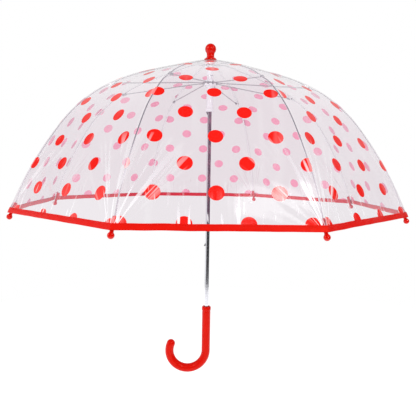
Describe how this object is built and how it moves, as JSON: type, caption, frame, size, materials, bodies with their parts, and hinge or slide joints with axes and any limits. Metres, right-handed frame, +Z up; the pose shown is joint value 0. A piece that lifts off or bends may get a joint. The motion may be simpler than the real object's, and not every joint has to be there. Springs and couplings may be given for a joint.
{
  "type": "clear dome umbrella",
  "caption": "Child's clear dome umbrella with dotted film gores, red hem band and tips, a sliding runner with catches, folding ribs and a hooked handle.",
  "frame": {"origin": "middle of the hand grip, on the shaft's axis", "axes": "+Z up the shaft to the crown; the hook's end points to -X; the middle of gore 1 faces -Y"},
  "size_m": [0.6672, 0.6672, 0.6385],
  "materials": {
    "clear_film": "glossy clear film with red dots",
    "red_band": "soft sheen",
    "red_plastic": "glossy",
    "white_plastic": "satin",
    "chrome_tube": "polished",
    "spring_steel": "satin",
    "rib_wire": "dark satin"
  },
  "bodies": {
    "frame": {"handle": "red_plastic", "shaft": "chrome_tube", "top_notch": "white_plastic", "notch_wire": "rib_wire", "canopy_washer": "red_plastic", "finial": "red_plastic"},
    "runner": {"runner": "white_plastic", "runner_wire": "rib_wire"},
    "top_catch": {"top_catch": "spring_steel"},
    "bottom_catch": {"bottom_catch": "spring_steel"},
    "rib_upper_1": {"rib_upper_1": "rib_wire"},
    "rib_lower_1": {"rib_lower_1": "rib_wire", "rib_tip_1": "red_plastic"},
    "stretcher_1": {"stretcher_1": "rib_wire"},
    "panel_1": {"canopy_panel_1": "clear_film"},
    "hem_1": {"hem_binding_1": "red_band"},
    "rib_upper_2": {"rib_upper_2": "rib_wire"},
    "rib_lower_2": {"rib_lower_2": "rib_wire", "rib_tip_2": "red_plastic"},
    "stretcher_2": {"stretcher_2": "rib_wire"},
    "panel_2": {"canopy_panel_2": "clear_film"},
    "hem_2": {"hem_binding_2": "red_band"},
    "rib_upper_3": {"rib_upper_3": "rib_wire"},
    "rib_lower_3": {"rib_lower_3": "rib_wire", "rib_tip_3": "red_plastic"},
    "stretcher_3": {"stretcher_3": "rib_wire"},
    "panel_3": {"canopy_panel_3": "clear_film"},
    "hem_3": {"hem_binding_3": "red_band"},
    "rib_upper_4": {"rib_upper_4": "rib_wire"},
    "rib_lower_4": {"rib_lower_4": "rib_wire", "rib_tip_4": "red_plastic"},
    "stretcher_4": {"stretcher_4": "rib_wire"},
    "panel_4": {"canopy_panel_4": "clear_film"},
    "hem_4": {"hem_binding_4": "red_band"},
    "rib_upper_5": {"rib_upper_5": "rib_wire"},
    "rib_lower_5": {"rib_lower_5": "rib_wire", "rib_tip_5": "red_plastic"},
    "stretcher_5": {"stretcher_5": "rib_wire"},
    "panel_5": {"canopy_panel_5": "clear_film"},
    "hem_5": {"hem_binding_5": "red_band"},
    "rib_upper_6": {"rib_upper_6": "rib_wire"},
    "rib_lower_6": {"rib_lower_6": "rib_wire", "rib_tip_6": "red_plastic"},
    "stretcher_6": {"stretcher_6": "rib_wire"},
    "panel_6": {"canopy_panel_6": "clear_film"},
    "hem_6": {"hem_binding_6": "red_band"},
    "rib_upper_7": {"rib_upper_7": "rib_wire"},
    "rib_lower_7": {"rib_lower_7": "rib_wire", "rib_tip_7": "red_plastic"},
    "stretcher_7": {"stretcher_7": "rib_wire"},
    "panel_7": {"canopy_panel_7": "clear_film"},
    "hem_7": {"hem_binding_7": "red_band"},
    "rib_upper_8": {"rib_upper_8": "rib_wire"},
    "rib_lower_8": {"rib_lower_8": "rib_wire", "rib_tip_8": "red_plastic"},
    "stretcher_8": {"stretcher_8": "rib_wire"},
    "panel_8": {"canopy_panel_8": "clear_film"},
    "hem_8": {"hem_binding_8": "red_band"}
  },
  "joints": [
    {"name": "runner_slide", "type": "slide", "parent": "frame", "child": "runner", "axis": [0, 0, -1], "range_m": [0, 0.32593], "deforming": ["canopy_panel_1", "hem_binding_1", "canopy_panel_2", "hem_binding_2", "canopy_panel_3", "hem_binding_3", "canopy_panel_4", "hem_binding_4", "canopy_panel_5", "hem_binding_5", "canopy_panel_6", "hem_binding_6", "canopy_panel_7", "hem_binding_7", "canopy_panel_8", "hem_binding_8", "top_catch", "bottom_catch"]},
    {"name": "rib_crown_hinge_1", "type": "hinge", "parent": "frame", "child": "rib_upper_1", "pos_m": [0.00344, -0.00831, 0.508], "axis": [0.9239, 0.3827, 0], "range_deg": [0, 68.26]},
    {"name": "rib_elbow_hinge_1", "type": "hinge", "parent": "rib_upper_1", "child": "rib_lower_1", "pos_m": [0.07099, -0.17138, 0.4602], "axis": [0.9239, 0.3827, 0], "range_deg": [-33.18, 0]},
    {"name": "stretcher_hinge_1", "type": "hinge", "parent": "runner", "child": "stretcher_1", "pos_m": [0.00344, -0.00831, 0.4763], "axis": [0.9239, 0.3827, 0], "range_deg": [-88.41, 0]},
    {"name": "panel_crown_fold_1", "type": "hinge", "parent": "frame", "child": "panel_1", "pos_m": [0, -0.009, 0.508], "axis": [1, 0, 0], "range_deg": [0, 68.26]},
    {"name": "panel_elbow_fold_1", "type": "hinge", "parent": "panel_1", "child": "hem_1", "pos_m": [0, -0.17138, 0.4649], "axis": [1, 0, 0], "range_deg": [-33.18, 0]},
    {"name": "rib_crown_hinge_2", "type": "hinge", "parent": "frame", "child": "rib_upper_2", "pos_m": [0.00831, -0.00344, 0.508], "axis": [0.3827, 0.9239, 0], "range_deg": [0, 68.26]},
    {"name": "rib_elbow_hinge_2", "type": "hinge", "parent": "rib_upper_2", "child": "rib_lower_2", "pos_m": [0.17138, -0.07099, 0.4602], "axis": [0.3827, 0.9239, 0], "range_deg": [-33.18, 0]},
    {"name": "stretcher_hinge_2", "type": "hinge", "parent": "runner", "child": "stretcher_2", "pos_m": [0.00831, -0.00344, 0.4763], "axis": [0.3827, 0.9239, 0], "range_deg": [-88.41, 0]},
    {"name": "panel_crown_fold_2", "type": "hinge", "parent": "frame", "child": "panel_2", "pos_m": [0.00636, -0.00636, 0.508], "axis": [0.7071, 0.7071, 0], "range_deg": [0, 68.26]},
    {"name": "panel_elbow_fold_2", "type": "hinge", "parent": "panel_2", "child": "hem_2", "pos_m": [0.12118, -0.12118, 0.4649], "axis": [0.7071, 0.7071, 0], "range_deg": [-33.18, 0]},
    {"name": "rib_crown_hinge_3", "type": "hinge", "parent": "frame", "child": "rib_upper_3", "pos_m": [0.00831, 0.00344, 0.508], "axis": [-0.3827, 0.9239, 0], "range_deg": [0, 68.26]},
    {"name": "rib_elbow_hinge_3", "type": "hinge", "parent": "rib_upper_3", "child": "rib_lower_3", "pos_m": [0.17138, 0.07099, 0.4602], "axis": [-0.3827, 0.9239, 0], "range_deg": [-33.18, 0]},
    {"name": "stretcher_hinge_3", "type": "hinge", "parent": "runner", "child": "stretcher_3", "pos_m": [0.00831, 0.00344, 0.4763], "axis": [-0.3827, 0.9239, 0], "range_deg": [-88.41, 0]},
    {"name": "panel_crown_fold_3", "type": "hinge", "parent": "frame", "child": "panel_3", "pos_m": [0.009, 0, 0.508], "axis": [0, 1, 0], "range_deg": [0, 68.26]},
    {"name": "panel_elbow_fold_3", "type": "hinge", "parent": "panel_3", "child": "hem_3", "pos_m": [0.17138, 0, 0.4649], "axis": [0, 1, 0], "range_deg": [-33.18, 0]},
    {"name": "rib_crown_hinge_4", "type": "hinge", "parent": "frame", "child": "rib_upper_4", "pos_m": [0.00344, 0.00831, 0.508], "axis": [-0.9239, 0.3827, 0], "range_deg": [0, 68.26]},
    {"name": "rib_elbow_hinge_4", "type": "hinge", "parent": "rib_upper_4", "child": "rib_lower_4", "pos_m": [0.07099, 0.17138, 0.4602], "axis": [-0.9239, 0.3827, 0], "range_deg": [-33.18, 0]},
    {"name": "stretcher_hinge_4", "type": "hinge", "parent": "runner", "child": "stretcher_4", "pos_m": [0.00344, 0.00831, 0.4763], "axis": [-0.9239, 0.3827, 0], "range_deg": [-88.41, 0]},
    {"name": "panel_crown_fold_4", "type": "hinge", "parent": "frame", "child": "panel_4", "pos_m": [0.00636, 0.00636, 0.508], "axis": [-0.7071, 0.7071, 0], "range_deg": [0, 68.26]},
    {"name": "panel_elbow_fold_4", "type": "hinge", "parent": "panel_4", "child": "hem_4", "pos_m": [0.12118, 0.12118, 0.4649], "axis": [-0.7071, 0.7071, 0], "range_deg": [-33.18, 0]},
    {"name": "rib_crown_hinge_5", "type": "hinge", "parent": "frame", "child": "rib_upper_5", "pos_m": [-0.00344, 0.00831, 0.508], "axis": [-0.9239, -0.3827, 0], "range_deg": [0, 68.26]},
    {"name": "rib_elbow_hinge_5", "type": "hinge", "parent": "rib_upper_5", "child": "rib_lower_5", "pos_m": [-0.07099, 0.17138, 0.4602], "axis": [-0.9239, -0.3827, 0], "range_deg": [-33.18, 0]},
    {"name": "stretcher_hinge_5", "type": "hinge", "parent": "runner", "child": "stretcher_5", "pos_m": [-0.00344, 0.00831, 0.4763], "axis": [-0.9239, -0.3827, 0], "range_deg": [-88.41, 0]},
    {"name": "panel_crown_fold_5", "type": "hinge", "parent": "frame", "child": "panel_5", "pos_m": [0, 0.009, 0.508], "axis": [-1, 0, 0], "range_deg": [0, 68.26]},
    {"name": "panel_elbow_fold_5", "type": "hinge", "parent": "panel_5", "child": "hem_5", "pos_m": [0, 0.17138, 0.4649], "axis": [-1, 0, 0], "range_deg": [-33.18, 0]},
    {"name": "rib_crown_hinge_6", "type": "hinge", "parent": "frame", "child": "rib_upper_6", "pos_m": [-0.00831, 0.00344, 0.508], "axis": [-0.3827, -0.9239, 0], "range_deg": [0, 68.26]},
    {"name": "rib_elbow_hinge_6", "type": "hinge", "parent": "rib_upper_6", "child": "rib_lower_6", "pos_m": [-0.17138, 0.07099, 0.4602], "axis": [-0.3827, -0.9239, 0], "range_deg": [-33.18, 0]},
    {"name": "stretcher_hinge_6", "type": "hinge", "parent": "runner", "child": "stretcher_6", "pos_m": [-0.00831, 0.00344, 0.4763], "axis": [-0.3827, -0.9239, 0], "range_deg": [-88.41, 0]},
    {"name": "panel_crown_fold_6", "type": "hinge", "parent": "frame", "child": "panel_6", "pos_m": [-0.00636, 0.00636, 0.508], "axis": [-0.7071, -0.7071, 0], "range_deg": [0, 68.26]},
    {"name": "panel_elbow_fold_6", "type": "hinge", "parent": "panel_6", "child": "hem_6", "pos_m": [-0.12118, 0.12118, 0.4649], "axis": [-0.7071, -0.7071, 0], "range_deg": [-33.18, 0]},
    {"name": "rib_crown_hinge_7", "type": "hinge", "parent": "frame", "child": "rib_upper_7", "pos_m": [-0.00831, -0.00344, 0.508], "axis": [0.3827, -0.9239, 0], "range_deg": [0, 68.26]},
    {"name": "rib_elbow_hinge_7", "type": "hinge", "parent": "rib_upper_7", "child": "rib_lower_7", "pos_m": [-0.17138, -0.07099, 0.4602], "axis": [0.3827, -0.9239, 0], "range_deg": [-33.18, 0]},
    {"name": "stretcher_hinge_7", "type": "hinge", "parent": "runner", "child": "stretcher_7", "pos_m": [-0.00831, -0.00344, 0.4763], "axis": [0.3827, -0.9239, 0], "range_deg": [-88.41, 0]},
    {"name": "panel_crown_fold_7", "type": "hinge", "parent": "frame", "child": "panel_7", "pos_m": [-0.009, 0, 0.508], "axis": [0, -1, 0], "range_deg": [0, 68.26]},
    {"name": "panel_elbow_fold_7", "type": "hinge", "parent": "panel_7", "child": "hem_7", "pos_m": [-0.17138, 0, 0.4649], "axis": [0, -1, 0], "range_deg": [-33.18, 0]},
    {"name": "rib_crown_hinge_8", "type": "hinge", "parent": "frame", "child": "rib_upper_8", "pos_m": [-0.00344, -0.00831, 0.508], "axis": [0.9239, -0.3827, 0], "range_deg": [0, 68.26]},
    {"name": "rib_elbow_hinge_8", "type": "hinge", "parent": "rib_upper_8", "child": "rib_lower_8", "pos_m": [-0.07099, -0.17138, 0.4602], "axis": [0.9239, -0.3827, 0], "range_deg": [-33.18, 0]},
    {"name": "stretcher_hinge_8", "type": "hinge", "parent": "runner", "child": "stretcher_8", "pos_m": [-0.00344, -0.00831, 0.4763], "axis": [0.9239, -0.3827, 0], "range_deg": [-88.41, 0]},
    {"name": "panel_crown_fold_8", "type": "hinge", "parent": "frame", "child": "panel_8", "pos_m": [-0.00636, -0.00636, 0.508], "axis": [0.7071, -0.7071, 0], "range_deg": [0, 68.26]},
    {"name": "panel_elbow_fold_8", "type": "hinge", "parent": "panel_8", "child": "hem_8", "pos_m": [-0.12118, -0.12118, 0.4649], "axis": [0.7071, -0.7071, 0], "range_deg": [-33.18, 0]},
    {"name": "top_catch_press", "type": "hinge", "parent": "frame", "child": "top_catch", "pos_m": [-0.0017, 0, 0.4041], "axis": [0, 1, 0], "range_deg": [0, 9], "stiffness_Nm_per_rad": 0.03},
    {"name": "bottom_catch_press", "type": "hinge", "parent": "frame", "child": "bottom_catch", "pos_m": [-0.0017, 0, 0.1826], "axis": [0, -1, 0], "range_deg": [0, 9], "stiffness_Nm_per_rad": 0.03}
  ],
  "couplings": [
    {"joint": "rib_crown_hinge_1", "follows": "runner_slide", "rad_per_m": 3.6548},
    {"joint": "rib_elbow_hinge_1", "follows": "runner_slide", "rad_per_m": -1.7763},
    {"joint": "stretcher_hinge_1", "follows": "runner_slide", "rad_per_m": -4.7341},
    {"joint": "panel_crown_fold_1", "follows": "runner_slide", "rad_per_m": 3.6548},
    {"joint": "panel_elbow_fold_1", "follows": "runner_slide", "rad_per_m": -1.7763},
    {"joint": "rib_crown_hinge_2", "follows": "runner_slide", "rad_per_m": 3.6548},
    {"joint": "rib_elbow_hinge_2", "follows": "runner_slide", "rad_per_m": -1.7763},
    {"joint": "stretcher_hinge_2", "follows": "runner_slide", "rad_per_m": -4.7341},
    {"joint": "panel_crown_fold_2", "follows": "runner_slide", "rad_per_m": 3.6548},
    {"joint": "panel_elbow_fold_2", "follows": "runner_slide", "rad_per_m": -1.7763},
    {"joint": "rib_crown_hinge_3", "follows": "runner_slide", "rad_per_m": 3.6548},
    {"joint": "rib_elbow_hinge_3", "follows": "runner_slide", "rad_per_m": -1.7763},
    {"joint": "stretcher_hinge_3", "follows": "runner_slide", "rad_per_m": -4.7341},
    {"joint": "panel_crown_fold_3", "follows": "runner_slide", "rad_per_m": 3.6548},
    {"joint": "panel_elbow_fold_3", "follows": "runner_slide", "rad_per_m": -1.7763},
    {"joint": "rib_crown_hinge_4", "follows": "runner_slide", "rad_per_m": 3.6548},
    {"joint": "rib_elbow_hinge_4", "follows": "runner_slide", "rad_per_m": -1.7763},
    {"joint": "stretcher_hinge_4", "follows": "runner_slide", "rad_per_m": -4.7341},
    {"joint": "panel_crown_fold_4", "follows": "runner_slide", "rad_per_m": 3.6548},
    {"joint": "panel_elbow_fold_4", "follows": "runner_slide", "rad_per_m": -1.7763},
    {"joint": "rib_crown_hinge_5", "follows": "runner_slide", "rad_per_m": 3.6548},
    {"joint": "rib_elbow_hinge_5", "follows": "runner_slide", "rad_per_m": -1.7763},
    {"joint": "stretcher_hinge_5", "follows": "runner_slide", "rad_per_m": -4.7341},
    {"joint": "panel_crown_fold_5", "follows": "runner_slide", "rad_per_m": 3.6548},
    {"joint": "panel_elbow_fold_5", "follows": "runner_slide", "rad_per_m": -1.7763},
    {"joint": "rib_crown_hinge_6", "follows": "runner_slide", "rad_per_m": 3.6548},
    {"joint": "rib_elbow_hinge_6", "follows": "runner_slide", "rad_per_m": -1.7763},
    {"joint": "stretcher_hinge_6", "follows": "runner_slide", "rad_per_m": -4.7341},
    {"joint": "panel_crown_fold_6", "follows": "runner_slide", "rad_per_m": 3.6548},
    {"joint": "panel_elbow_fold_6", "follows": "runner_slide", "rad_per_m": -1.7763},
    {"joint": "rib_crown_hinge_7", "follows": "runner_slide", "rad_per_m": 3.6548},
    {"joint": "rib_elbow_hinge_7", "follows": "runner_slide", "rad_per_m": -1.7763},
    {"joint": "stretcher_hinge_7", "follows": "runner_slide", "rad_per_m": -4.7341},
    {"joint": "panel_crown_fold_7", "follows": "runner_slide", "rad_per_m": 3.6548},
    {"joint": "panel_elbow_fold_7", "follows": "runner_slide", "rad_per_m": -1.7763},
    {"joint": "rib_crown_hinge_8", "follows": "runner_slide", "rad_per_m": 3.6548},
    {"joint": "rib_elbow_hinge_8", "follows": "runner_slide", "rad_per_m": -1.7763},
    {"joint": "stretcher_hinge_8", "follows": "runner_slide", "rad_per_m": -4.7341},
    {"joint": "panel_crown_fold_8", "follows": "runner_slide", "rad_per_m": 3.6548},
    {"joint": "panel_elbow_fold_8", "follows": "runner_slide", "rad_per_m": -1.7763}
  ]
}
